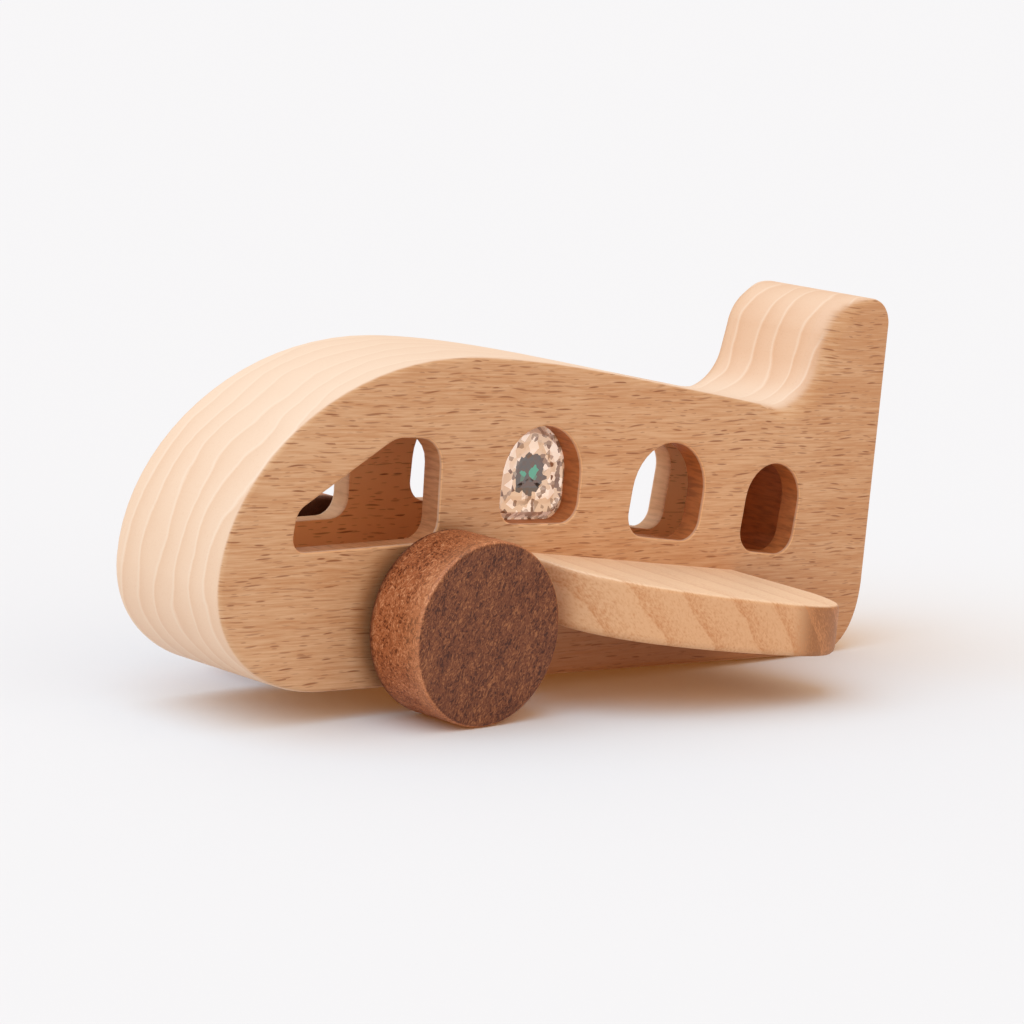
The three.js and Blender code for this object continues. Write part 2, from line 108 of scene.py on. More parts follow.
PANEL_LOW, PANEL_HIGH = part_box("port_side_panel")
PANEL_INNER = PANEL_LOW.y
PANEL_OUTER = PANEL_HIGH.y
WHEEL_LOW, WHEEL_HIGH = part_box("port_wheel")
AXLE_LOW, AXLE_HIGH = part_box("axle")
STONE_LOW, STONE_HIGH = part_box("window_crystal")
AXLE = Vector(frame["joints"][0]["pos_m"])
PITCH = math.asin(frame["record"]["mounts"][0]["axis"][0])  # how far the body points nose up


def linear(code):
    """The linear colour of a hexadecimal one, such as 0xC89975."""
    parts = [((code >> shift) & 255) / 255 for shift in (16, 8, 0)]
    return tuple(p / 12.92 if p <= 0.04045 else ((p + 0.055) / 1.055) ** 2.4 for p in parts)


def colour_property(name, description, code):
    return FloatVectorProperty(
        name=name, description=description, subtype="COLOR", size=3, min=0, max=1,
        default=linear(code))


def length_property(name, description, default):
    return FloatProperty(
        name=name, description=description, default=default, unit="LENGTH", precision=4)


def strength_property(name, description, default):
    return FloatProperty(
        name=name, description=description, default=default, min=0, subtype="FACTOR")


def angle_property(name, description, degrees):
    return FloatProperty(
        name=name, description=description, default=math.radians(degrees), unit="ROTATION")


# ---- Settings ----
class StageSettings(bpy.types.PropertyGroup):
    """Camera, floor and lights."""

    lens: FloatProperty(
        name="Lens", description="Focal length", default=135.28, subtype="DISTANCE_CAMERA")
    yaw: angle_property("Yaw", "Turn of the view from straight along -Y", 42.578)
    pitch: angle_property("Pitch", "How far the view looks down", 10.009)
    roll: angle_property("Roll", "Tilt of the camera about its view", 3.509)
    distance: length_property("Distance", "From the camera to the middle of the toy", 0.82365)
    shift_right: length_property("Shift right", "Aim beside the middle of the toy", -0.00194)
    shift_up: length_property("Shift up", "Aim above the middle of the toy", -0.00470)
    floor_size: length_property("Floor size", "Side of the floor", 8.0)
    floor_colour: colour_property("Floor colour", "Pale studio floor", 0xDEE5E8)
    # Painted light: the floor gives off a faint warm light, which keeps its shadows brown.
    floor_glow_colour: colour_property("Floor warmth", "Colour that the floor's shadows keep", 0xFF9300)
    floor_glow: strength_property("Floor glow", "Strength of the floor's warmth", 0.08)
    backdrop: strength_property("Backdrop", "Brightness behind the floor", 0.932)
    sky: strength_property("Sky", "Strength of the even light", 0.94)
    sky_colour: colour_property("Sky colour", "Warm even light", 0xFFE1C6)
    key: strength_property("Key", "Strength of the key light", 2.32)
    key_colour: colour_property("Key colour", "Cool key light", 0xA4DBFF)
    key_turn: angle_property("Key turn", "Side the key light comes from, from +X", -8)
    key_height: angle_property("Key height", "Height of the key light", 58)
    key_softness: angle_property("Key softness", "Width of the key light", 75)


class WoodSettings(bpy.types.PropertyGroup):
    """Colours of the beech and the walnut."""

    # The broad faces' colours are darker than the edges' partly as their own grain, partly as painted shade.
    side: colour_property("Side", "Broad faces of the body", 0xDDB48C)
    side_warm: colour_property("Side warm", "Warmer streaks of the broad faces", 0xC79265)
    # Painted shade: the colour of the shade painted low on the broad faces, under the wings and round the wheels.
    side_painted_shade: colour_property("Side deep", "Low at the rear of the broad faces", 0xA8683A)
    fleck: colour_property("Fleck", "Ray flecks of the broad faces", 0x8E542E)
    edge: colour_property("Edge", "Nose, back and fin", 0xEACAAD)
    edge_warm: colour_property("Edge warm", "Growth rings across the nose and fin", 0xE2B895)
    ring: colour_property("Ring", "Tint of the growth rings and pores", 0xF5EBE2)
    # Pale ring lines, and also the colour of the painted light on faces turned up.
    pale_line_and_top_light: colour_property("Edge line", "Pale lines between the growth rings", 0xF0DAC3)
    routed: colour_property("Routed", "Walls of the windows and the hollow", 0xC07642)
    # Painted light: the faces inside the hollow are painted bright and orange, for light gathered in it.
    inside: colour_property("Inside", "Faces of the boards inside the hollow", 0xFFC890)
    wing: colour_property("Wing", "Leading edges of the wings", 0xE0B084)
    wing_warm: colour_property("Wing warm", "Growth rings of the wings", 0xC98A58)
    # Painted light: the paler colour painted on the wings' upper faces, as lit from above.
    wing_top_painted_light: colour_property("Wing top", "Upper faces of the wings", 0xF6D4B0)
    wing_tip: colour_property("Wing tip", "End grain of the wings", 0xA06A3E)
    dowel: colour_property("Dowel", "Dowels and axle", 0xDCB88C)
    walnut: colour_property("Walnut", "Faces of the wheels", 0x754126)
    # Dark pores of the walnut, and also the colour of the painted shade by the wheel's inner face.
    walnut_pores_and_shade: colour_property("Walnut dark", "Dark pores of the walnut", 0x431D0E)
    walnut_light: colour_property("Walnut light", "Light fibres of the walnut", 0xAE7449)
    tread: colour_property("Tread", "Rims of the wheels", 0xA85F35)
    tread_dark: colour_property("Tread dark", "Dark pores of the rims", 0x622C0E)
    # Light fibres of the rims, and also the colour of the painted highlight on the tread's outer lip.
    tread_fibre_and_highlight: colour_property("Tread light", "Light fibres of the rims", 0xDC9B6D)
    ring_width: length_property("Ring width", "Distance between growth rings", 0.0058)
    fleck_length: length_property("Fleck length", "Half the length of a ray fleck", 0.0026)


class StoneSettings(bpy.types.PropertyGroup):
    """The cut crystal."""

    # The stone's colours are painted light: pale for painted reflections, peach for the wood seen through it,
    # brown for painted shade, green for painted glints.
    pale: colour_property("Pale", "Bright facets", 0xFAEBDD)
    peach: colour_property("Peach", "Facets that show the wood", 0xE0C4A8)
    brown: colour_property("Brown", "Facets in shadow", 0x6E452C)
    heart: colour_property("Heart", "Dark middle", 0x57504D)
    glint: colour_property("Glint", "Green glints in the middle", 0x4FA58C)
    # Painted light: the stone gives off light in its own colours.
    glow: strength_property("Glow", "Light that the facets gather", 0.22)
    steps: IntProperty(
        name="Steps", description="Rings of facets on the crown", default=3, min=1, max=6,
        subtype="UNSIGNED")

    def glint_places(self):
        """Places and half sizes of the glints, in millimetres from the stone's middle."""
        return ((1.7, -0.2, 0.8, 1.0), (-1.2, 0.2, 1.1, 1.7))


# ---- Shader terms ----
class Term:
    """An output socket that can be used in sums; each operation adds a Math node."""

    def __init__(self, finish, socket):
        self.finish = finish
        self.socket = socket

    def math(self, operation, *others):
        return self.finish.node("ShaderNodeMath", {"operation": operation}, (self, *others))

    def __add__(self, other):
        return self.math("ADD", other)

    def __radd__(self, other):
        return self.finish.node("ShaderNodeMath", {"operation": "ADD"}, (other, self))

    def __sub__(self, other):
        return self.math("SUBTRACT", other)

    def __rsub__(self, other):
        return self.finish.node("ShaderNodeMath", {"operation": "SUBTRACT"}, (other, self))

    def __mul__(self, other):
        return self.math("MULTIPLY", other)

    def __rmul__(self, other):
        return self.finish.node("ShaderNodeMath", {"operation": "MULTIPLY"}, (other, self))

    def __truediv__(self, other):
        return self.math("DIVIDE", other)

    def __rtruediv__(self, other):
        return self.finish.node("ShaderNodeMath", {"operation": "DIVIDE"}, (other, self))

    def __abs__(self):
        return self.math("ABSOLUTE")

    def fraction(self):
        return self.math("FRACT")

    def step(self, low, high):
        """0 below low, 1 above high and smooth between them."""
        return self.finish.node(
            "ShaderNodeMapRange", {"interpolation_type": "SMOOTHSTEP", "clamp": True},
            {"Value": self, "From Min": low, "From Max": high})


class Finish:
    """A material under construction."""

    def __init__(self, name):
        self.material = bpy.data.materials.new(name)
        self.material.use_nodes = True
        self.tree = self.material.node_tree
        self.tree.nodes.clear()
        self.output = self.tree.nodes.new("ShaderNodeOutputMaterial")

    def node(self, kind, settings=None, inputs=(), output=0):
        """Adds a node: its settings first, then its sockets by name or in order."""
        made = self.tree.nodes.new(kind)
        for name, value in (settings or {}).items():
            setattr(made, name, value)
        pairs = inputs.items() if isinstance(inputs, dict) else enumerate(inputs)
        for key, value in pairs:
            socket = find_socket(made.inputs, key)
            if isinstance(value, Term):
                self.tree.links.new(value.socket, socket)
            else:
                socket.default_value = value
        return Term(self, find_socket(made.outputs, output))

    def mix(self, factor, first, second, blend="MIX"):
        """A mix of two colours."""
        return self.node(
            "ShaderNodeMix", {"data_type": "RGBA", "blend_type": blend},
            {"Factor_Float": factor, "A_Color": opaque(first), "B_Color": opaque(second)},
            "Result_Color")

    def vector(self, x, y, z):
        return self.node("ShaderNodeCombineXYZ", None, (x, y, z))

    def split(self, vector):
        parts = self.node("ShaderNodeSeparateXYZ", None, (vector,))
        sockets = parts.socket.node.outputs
        return [Term(self, sockets[i]) for i in range(3)]

    def noise(self, vector, scale=1.0, detail=2.0, roughness=0.5, distortion=0.0):
        return self.node(
            "ShaderNodeTexNoise", None,
            {"Vector": vector, "Scale": scale, "Detail": detail, "Roughness": roughness,
             "Distortion": distortion}, "Fac")

    def place(self, turn=(0, 0, 0), centre=(0, 0, 0)):
        """Millimetres along, across and up from a centre, turned level with the body."""
        coordinates = self.node("ShaderNodeTexCoord", None, (), "Object")
        moved = self.node(
            "ShaderNodeVectorMath", {"operation": "SUBTRACT"}, (coordinates, tuple(centre)))
        return self.node(
            "ShaderNodeMapping", {"vector_type": "POINT"},
            {"Vector": moved, "Rotation": turn, "Scale": (1 / MM, 1 / MM, 1 / MM)})

    def normal(self):
        return self.split(self.node("ShaderNodeTexCoord", None, (), "Normal"))

    def facing(self):
        """How squarely the surface faces along Y, from 0 to 1."""
        return abs(self.normal()[1])

    def surface(self, colour, roughness, bump=None, height=0.0, **constants):
        """Ends the material in one shader; the bump's height is in metres."""
        inputs = {"Base Color": opaque(colour), "Roughness": roughness}
        if bump is not None:
            inputs["Normal"] = self.node(
                "ShaderNodeBump", None, {"Distance": height, "Height": bump})
        inputs.update({key.replace("_", " "): value for key, value in constants.items()})
        shader = self.node("ShaderNodeBsdfPrincipled", None, inputs)
        self.tree.links.new(shader.socket, self.output.inputs["Surface"])
        return self.material


def find_socket(sockets, key):
    if isinstance(key, int):
        return sockets[key]
    for socket in sockets:
        if socket.identifier == key:
            return socket
    return sockets[key]


def opaque(colour):
    """A colour as a socket takes it: a term stays, and three numbers get an alpha of 1."""
    return colour if isinstance(colour, Term) else (*colour, 1.0)


# ---- Finishes ----
def flecks(finish, along, up, shift, half_length, half_width, spacing, share):
    """Short dark strokes along the grain, one in each cell that a share of the cells holds."""
    cell_long, cell_high = spacing
    cells = finish.vector(along / cell_long + shift, up / cell_high, shift)
    settings = {"voronoi_dimensions": "2D", "feature": "F1"}
    inputs = {"Vector": cells, "Scale": 1.0, "Randomness": 1.0}
    middle = finish.node("ShaderNodeTexVoronoi", settings, inputs, "Position")
    colour = Term(finish, middle.socket.node.outputs["Color"])
    near = finish.split(
        finish.node("ShaderNodeVectorMath", {"operation": "SUBTRACT"}, (cells, middle)))
    chance, size, depth = finish.split(colour)
    reach = size * 0.75 + 0.45
    bow = near[0] * near[0] * (depth - 0.5) * 0.6
    off_x = near[0] * cell_long / (reach * half_length)
    off_y = (near[1] + bow) * cell_high / half_width
    inside = 1 - (off_x * off_x + off_y * off_y).step(0.15, 1.0)
    return inside * (1 - chance.step(share - 0.02, share + 0.02)) * (depth * 0.6 + 0.4)


def rings(finish, distance, width):
    """Growth rings across a distance: each starts at a crisp line and fades into the next."""
    phase = (distance / width).fraction()
    fade = (1 - phase) * (1 - phase)
    return fade * phase.step(0.0, 0.07)


def body_beech(name, settings):
    """Beech of the body: flecked on the sides, ringed and paler on the nose, back and fin."""
    finish = Finish(name)
    level = finish.place((0, PITCH, 0))
    along, across, up = finish.split(level)
    broad = finish.facing().step(0.35, 0.75)
    painted_top_light = finish.normal()[2].step(0.6, 1.0)

    wander = finish.noise(finish.vector(along / 30, across / 22, up / 30), detail=2)
    ripple = finish.noise(finish.vector(along / 7, across / 9, up / 7), detail=2)
    ring_place = across + wander * 13 + ripple * 1.4 + up * 0.03
    ring = rings(finish, ring_place, settings.ring_width / MM)
    pores = finish.noise(
        finish.vector(along / 0.9, across / 0.3, up / 0.45), detail=2, roughness=0.6)
    phase = (ring_place / (settings.ring_width / MM)).fraction()
    line = phase.step(0.84, 0.96) * (1 - phase.step(0.96, 1.0))
    fin = 1 - along.step(*FIN_SPAN)
    edge = finish.mix(fin * 0.75, settings.edge, settings.edge_warm)
    edge = finish.mix(ring * 0.8, edge, settings.ring, "MULTIPLY")
    edge = finish.mix((pores - 0.5).step(0.02, 0.3) * 0.5, edge, settings.ring, "MULTIPLY")
    edge = finish.mix(line * 0.4, edge, settings.pale_line_and_top_light)
    # Painted light: faces turned up are painted paler, as lit from above.
    edge = finish.mix(painted_top_light * (1 - fin * 0.5) * 0.45, edge, settings.pale_line_and_top_light)

    slow = finish.noise(finish.vector(along / 70, across / 20, up / 5.5), detail=3, roughness=0.55)
    fine = finish.noise(finish.vector(along / 9, across / 3, up / 0.35), detail=3, roughness=0.65)
    tone = (slow - 0.5) * 0.7 + (fine - 0.5) * 1.6 + 0.67 - along.step(*STREAK_SPAN) * 0.17
    side = finish.mix(tone.step(0.1, 0.9), settings.side, settings.side_warm)
    sway = finish.noise(finish.vector(along / 14, across / 14, up / 14), detail=1)
    bent = up + (sway - 0.5) * 2.4
    half = settings.fleck_length / MM
    large = flecks(finish, along, bent, 0.37, half, 0.22, (6.6, 1.9), 0.6)
    small = flecks(finish, along, bent, 5.83, half * 0.6, 0.14, (3.6, 1.0), 0.55)
    long = flecks(finish, along, bent, 9.31, half * 1.8, 0.18, (15.0, 3.6), 0.5)
    dark = (large * 0.85).math("MAXIMUM", small * 0.5).math("MAXIMUM", long * 0.7)
    # Painted shade low at the rear of the broad faces, under the wings.
    low = (1 - up.step(*SHADE_UP)) * (1 - along.step(*SHADE_AHEAD))
    shade_under_wing = low * (along.step(*SHADE_BEHIND) * 0.7 + 0.3)
    side = finish.mix(shade_under_wing * 0.75, side, settings.side_painted_shade)
    # Painted shade on the board in a ring round the wheel.
    hub_x, _, hub_z = finish.split(finish.place((0, 0, 0), AXLE))
    wheel_edge_reach = (hub_x * hub_x + hub_z * hub_z).math("SQRT") - (WHEEL_HIGH.z - WHEEL_LOW.z) / 2 / MM
    side = finish.mix((1 - wheel_edge_reach.step(*WHEEL_SHADE_RING)) * 0.6, side, settings.side_painted_shade)
    side = finish.mix(dark, side, settings.fleck)

    # The broad faces take the darker side colours: partly their own grain, partly painted shade.
    colour = finish.mix(broad, edge, side)
    routed = finish.node("ShaderNodeAttribute", {"attribute_name": "routed"}, (), "Fac")
    scrape = finish.noise(
        finish.vector(along / 0.9, across / 5, up / 0.9), detail=2, roughness=0.6)
    # Painted light: the cockpit's walls and the far board's walls, which face the light, are painted lighter in
    # the wings' colour, with fewer dark scrapes.
    light = (along.step(*COCKPIT_SPAN) * 0.45).math(
        "MAXIMUM", 1 - across.step(*FAR_BOARD_SPAN))
    wall = finish.mix(light, settings.routed, settings.wing)
    wall = finish.mix(scrape.step(0.35, 0.75) * (0.7 - light * 0.45), wall, settings.fleck)
    # Painted light on the faces of the boards inside the hollow.
    inner = finish.mix(dark, settings.inside, settings.fleck)
    colour = finish.mix(routed, colour, finish.mix(broad, wall, inner))
    relief = (fine - 0.5) * 0.5 + (pores - 0.5) * 0.35 - dark * broad
    roughness = 0.5 + (fine - 0.5) * 0.2
    return finish.surface(colour, roughness, relief, 0.05 * MM, Specular_IOR_Level=SHEEN)


def wing_beech(name, settings):
    """Beech of the wings: grain out along the span, rings sloping through the thickness."""
    finish = Finish(name)
    along, across, up = finish.split(finish.place((0, PITCH, 0)))
    out = abs(across)
    wander = finish.noise(finish.vector(along / 26, out / 70, up / 26), detail=2)
    ripple = finish.noise(finish.vector(along / 5, out / 30, up / 5), detail=2)
    through = up * WING_RING_UP - along * WING_RING_BACK + wander * 8 + ripple * 0.9
    ring = rings(finish, through, WING_RING_WIDTH)
    ray = along * WING_RING_UP + up * WING_RING_BACK
    fibre = finish.noise(finish.vector(along / 0.6, out / 16, up / 0.6), detail=3, roughness=0.6)
    specks = finish.noise(
        finish.vector(ray / 0.9, out / 0.8, through / 0.28), detail=2, roughness=0.6)
    tone = ring * 0.5 + (fibre - 0.5) * 1.0 + (specks - 0.5) * 1.5 + 0.14
    # Painted light on the upper faces: paler, with fainter rings, as lit from above.
    painted_top_light = finish.normal()[2].step(0.5, 0.95)
    pale = finish.mix(1 - along.step(*WING_TIP_SPAN), settings.wing, settings.wing_tip)
    pale = finish.mix(painted_top_light, pale, settings.wing_top_painted_light)
    colour = finish.mix(tone.step(0.0, 1.0) * (1 - painted_top_light * 0.6), pale, settings.wing_warm)
    relief = (fibre - 0.5) * 0.4 + (specks - 0.5) * 0.7 - ring * 0.15
    return finish.surface(colour, 0.52, relief, 0.06 * MM, Specular_IOR_Level=SHEEN)


def walnut(name, settings):
    """Walnut of the wheels: dark and speckled on the faces, redder round the tread."""
    finish = Finish(name)
    x, y, z = finish.split(finish.place((0, WALNUT_TURN, 0), AXLE))
    face = finish.facing().step(0.6, 0.9)
    swirl = finish.noise(finish.vector(x / 4, y / 4, z / 4), detail=2)
    grain = finish.noise(
        finish.vector(x / 0.55 + swirl * 3, y / 0.7, z / 1.1), detail=3, roughness=0.6,
        distortion=1.4)
    patch = finish.noise(finish.vector(x / 3.5, y / 5, z / 9), detail=3)
    tone = (grain - 0.5) * 3.0 + (patch - 0.5) * 0.9 + 0.48
    dark = finish.mix(face, settings.tread_dark, settings.walnut_pores_and_shade)
    middle = finish.mix(face, settings.tread, settings.walnut)
    light = finish.mix(face, settings.tread_fibre_and_highlight, settings.walnut_light)
    colour = finish.mix(tone.step(0.05, 0.5), dark, middle)
    colour = finish.mix(tone.step(0.5, 1.15) * 0.8, colour, light)
    out = abs(y)
    # Painted highlight along the outer lip of the tread.
    lip = out.step(WHEEL_HIGH.y / MM - TREAD_HIGHLIGHT_WIDTH, WHEEL_HIGH.y / MM) * (1 - face)
    colour = finish.mix(lip * 0.25, colour, settings.tread_fibre_and_highlight)
    # Painted shade on the wheel next to the gap by the board.
    shade = 1 - out.step(*(WHEEL_LOW.y / MM + place for place in TREAD_SHADE))
    colour = finish.mix(shade * 0.85, colour, settings.walnut_pores_and_shade)
    return finish.surface(colour, 0.5, grain, 0.09 * MM, Specular_IOR_Level=SHEEN)


def turned_beech(name, settings):
    """Plain beech of the dowels and the axle, with its grain along Y."""
    finish = Finish(name)
    x, y, z = finish.split(finish.place())
    fibre = finish.noise(finish.vector(x / 0.5, y / 12, z / 0.5), detail=3, roughness=0.6)
    colour = finish.mix(fibre.step(0.35, 0.75), settings.dowel, settings.side_warm)
    return finish.surface(colour, 0.6, fibre, 0.04 * MM)


def shards(finish, x, z, size):
    """Many-sided shards of a size: two random numbers for each, and its middle."""
    cells = finish.node(
        "ShaderNodeTexVoronoi", {"voronoi_dimensions": "2D", "feature": "F1"},
        {"Vector": finish.vector(x / size, z / size, 0), "Scale": 1.0, "Randomness": 1.0},
        "Position")
    chance, second, _ = finish.split(Term(finish, cells.socket.node.outputs["Color"]))
    middle_x, middle_z, _ = finish.split(cells)
    return chance, second, middle_x * size, middle_z * size


def cut_crystal(name, settings):
    """Clear stone over wood: pale, peach and brown shards round a dark heart, in a bright rim."""
    finish = Finish(name)
    middle = (STONE_LOW + STONE_HIGH) / 2
    x, _, z = finish.split(finish.place((0, 0, 0), middle))
    right = x.step(-2.0, 5.0)
    large = shards(finish, x, z, LARGE_SHARD)
    small = shards(finish, x, z, SMALL_SHARD)
    # Painted reflections and the wood seen through: pale and peach shards.
    colour = finish.mix((1 - large[0]).step(0.35, 0.5), settings.pale, settings.peach)
    # Painted shade: brown shards, more of them on the side away from the light.
    shade_shards = small[0].step(0.84, 0.86).math("MAXIMUM", small[0].step(0.6, 0.62) * (1 - right))
    colour = finish.mix(shade_shards * (small[1] * 0.5 + 0.5), colour, settings.brown)
    # Painted highlight: facets turned away from the front are painted pale, in a bright rim.
    colour = finish.mix(1 - finish.facing().step(0.3, 0.75), colour, settings.pale)
    radius = (small[2] * small[2] * 1.15 + small[3] * small[3]).math("SQRT")
    heart = finish.mix(small[1].step(0.2, 0.9) * 0.5, settings.heart, settings.brown)
    colour = finish.mix(1 - radius.step(*HEART_EDGE), colour, heart)
    # Painted glints: green spots in the dark heart.
    for place_x, place_z, half_x, half_z in settings.glint_places():
        off_x = (small[2] - place_x) / half_x
        off_z = (small[3] - place_z) / half_z
        spot = 1 - (off_x * off_x + off_z * off_z).step(0.5, 1.0)
        colour = finish.mix(spot, colour, settings.glint)
    # The stone's emission is painted light.
    return finish.surface(
        colour, 0.08, Specular_IOR_Level=0.6, IOR=1.6, Coat_Weight=0.6, Coat_Roughness=0.03,
        Emission_Color=colour, Emission_Strength=settings.glow)


# ---- Modelling ----
def deselect():
    if bpy.context.mode != "OBJECT":
        bpy.ops.object.mode_set(mode="OBJECT")
    bpy.ops.object.select_all(action="DESELECT")


def activate(piece):
    deselect()
    piece.select_set(True)
    bpy.context.view_layer.objects.active = piece


def welded_copy(node, name):
    """A copy of a CAD node with its loose triangles joined and its flat faces made whole."""
    mesh = frame["nodes"][node].data.copy()
    mesh.materials.clear()
    piece = bpy.data.objects.new(name, mesh)
    bpy.context.scene.collection.objects.link(piece)
    activate(piece)
    if mesh.has_custom_normals:
        bpy.ops.mesh.customdata_custom_splitnormals_clear()
    bpy.ops.object.mode_set(mode="EDIT")
    bpy.ops.mesh.select_all(action="SELECT")
    bpy.ops.mesh.remove_doubles(threshold=FLUSH)
    bpy.ops.mesh.dissolve_limited(angle_limit=math.radians(0.5))
    bpy.ops.mesh.select_all(action="DESELECT")
    bpy.ops.object.mode_set(mode="OBJECT")
    return piece


def move_points(piece, wanted, place):
    """Moves each point that is wanted to its new place."""
    for vertex in piece.data.vertices:
        if wanted(vertex.co):
            vertex.co = place(vertex.co)
    piece.data.update()


def mark_routed(piece):
    """Marks the walls cut through the boards for a darker colour, and the faces behind them for the hollow's
    painted light.
    """
    shape = bmesh.new()
    shape.from_mesh(piece.data)
    layer = shape.faces.layers.float.new("routed")
    walls = {face for face in shape.faces if abs(face.normal.y) < 0.95}
    foremost = max(walls, key=lambda face: face.calc_center_median().x)
    outside = {foremost}
    todo = [foremost]
    while todo:
        for edge in todo.pop().edges:
            for face in edge.link_faces:
                if face in walls and face not in outside:
                    outside.add(face)
                    todo.append(face)
    for face in walls - outside:
        face[layer] = 1.0 if abs(face.normal.y) < 0.1 else RIM
    for face in shape.faces:
        if face.normal.y * face.calc_center_median().y < -0.5 * PANEL_INNER:
            face[layer] = 1.0
    shape.to_mesh(piece.data)
    shape.free()


def smooth(piece, degrees=35):
    """Smooth shading between gently turned faces, with flat faces kept flat."""
    activate(piece)
    bpy.ops.object.shade_smooth_by_angle(angle=math.radians(degrees))
    weighted = piece.modifiers.new("Weighted normals", "WEIGHTED_NORMAL")
    weighted.keep_sharp = True
    bpy.ops.object.modifier_apply(modifier=weighted.name)


def finished(piece, material, slot, body, *nodes):
    piece.data.materials.clear()
    piece.data.materials.append(material)
    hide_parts(*nodes)
    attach(piece, body)


def start_cylinder(name, radius, low, high, place, sides):
    """A cylinder along Y between two places, with its place in its mesh and nothing selected."""
    deselect()
    bpy.ops.mesh.primitive_cylinder_add(
        vertices=sides, radius=radius, depth=high - low, end_fill_type="NGON",
        location=(place.x, (low + high) / 2, place.z), rotation=(math.pi / 2, 0, 0))
    piece = bpy.context.object
    piece.name = name
    bpy.ops.object.transform_apply(location=True, rotation=True, scale=True)
    return piece


def edit_with(piece, mode, choose):
    """Enters edit mode with the chosen faces or edges selected, by a test in code."""
    activate(piece)
    bpy.ops.object.mode_set(mode="EDIT")
    bpy.ops.mesh.select_mode(type=mode)
    bpy.ops.mesh.select_all(action="DESELECT")
    shape = bmesh.from_edit_mesh(piece.data)
    parts = shape.faces if mode == "FACE" else shape.edges
    for part in parts:
        part.select_set(bool(choose(part)))
    bmesh.update_edit_mesh(piece.data)


def leave_edit():
    bpy.ops.mesh.select_all(action="DESELECT")
    bpy.ops.object.mode_set(mode="OBJECT")


def wood():
    return bpy.context.scene.toy_wood


class TOYPLANE_OT_body(bpy.types.Operator):
    """Two side boards and the frame between them, flush at their glue lines"""

    bl_idname = "toyplane.body"
    bl_label = "Body boards"

    def execute(self, context):
        beech = body_beech("Body beech", wood())
        for side in ("port", "starboard"):
            panel = welded_copy(f"{side}_side_panel", f"{side}_side_board")
            mark_routed(panel)
            smooth(panel)
            finished(panel, beech, "panel_beech", "fuselage", f"{side}_side_panel")
        core = welded_copy("fuselage_core", "core_board")
        reach = PANEL_INNER + FLUSH
        move_points(
            core, lambda co: True,
            lambda co: Vector((co.x, math.copysign(reach, co.y), co.z)))
        mark_routed(core)
        smooth(core)
        finished(core, beech, "core_beech", "fuselage", "fuselage_core")
        return {"FINISHED"}


class TOYPLANE_OT_wings(bpy.types.Operator):
    """Two wings, closed up against the side boards"""

    bl_idname = "toyplane.wings"
    bl_label = "Wings"

    def execute(self, context):
        beech = wing_beech("Wing beech", wood())
        for side in ("port", "starboard"):
            node = f"{side}_wing"
            low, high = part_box(node)
            root = min(abs(low.y), abs(high.y))
            wing = welded_copy(node, f"{side}_wing_board")
            seat = PANEL_OUTER - FLUSH
            move_points(
                wing, lambda co: abs(abs(co.y) - root) < FLUSH,
                lambda co: Vector((co.x, math.copysign(seat, co.y), co.z)))
            smooth(wing)
            finished(wing, beech, "wing_beech", "fuselage", node)
        return {"FINISHED"}


class TOYPLANE_OT_dowels(bpy.types.Operator):
    """Fluted dowels through the body, and the plain turning axle"""

    bl_idname = "toyplane.dowels"
    bl_label = "Dowels and axle"

    chamfer: length_property("Chamfer", "Chamfer at the ends", 0.0006)
    flute: length_property("Flute", "Depth of the glue flutes", 0.00035)

    def rod(self, node, name, fluted):
        low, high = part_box(node)
        radius = (high.z - low.z) / 2
        middle = (low + high) / 2
        piece = start_cylinder(name, radius, low.y, high.y, middle, ROD_SIDES)
        end = high.y - FLUSH
        if fluted:
            shape = piece.data
            turn = {face.index: math.atan2(face.center.z - middle.z, face.center.x - middle.x)
                    for face in shape.polygons}
            side = 360 / ROD_SIDES
            edit_with(piece, "FACE", lambda face: abs(face.normal.y) < 0.5 and int(
                round(math.degrees(turn[face.index]) / side - 0.5)) % FLUTE_EVERY == 0)
            bpy.ops.mesh.inset(thickness=self.chamfer / 3, depth=-self.flute, use_individual=True)
            leave_edit()
        edit_with(piece, "EDGE", lambda edge: all(abs(v.co.y) > end for v in edge.verts)
                  and len(edge.link_faces) == 2)
        bpy.ops.mesh.bevel(offset=self.chamfer, segments=2)
        leave_edit()
        smooth(piece)
        return piece

    def execute(self, context):
        beech = turned_beech("Turned beech", wood())
        for node, name, body, fluted in (
            ("wing_dowel_front", "front_dowel", "fuselage", True),
            ("wing_dowel_rear", "rear_dowel", "fuselage", True),
            ("axle", "axle_rod", "wheelset", False),
        ):
            finished(self.rod(node, name, fluted), beech, "dowel_beech", body, node)
        return {"FINISHED"}


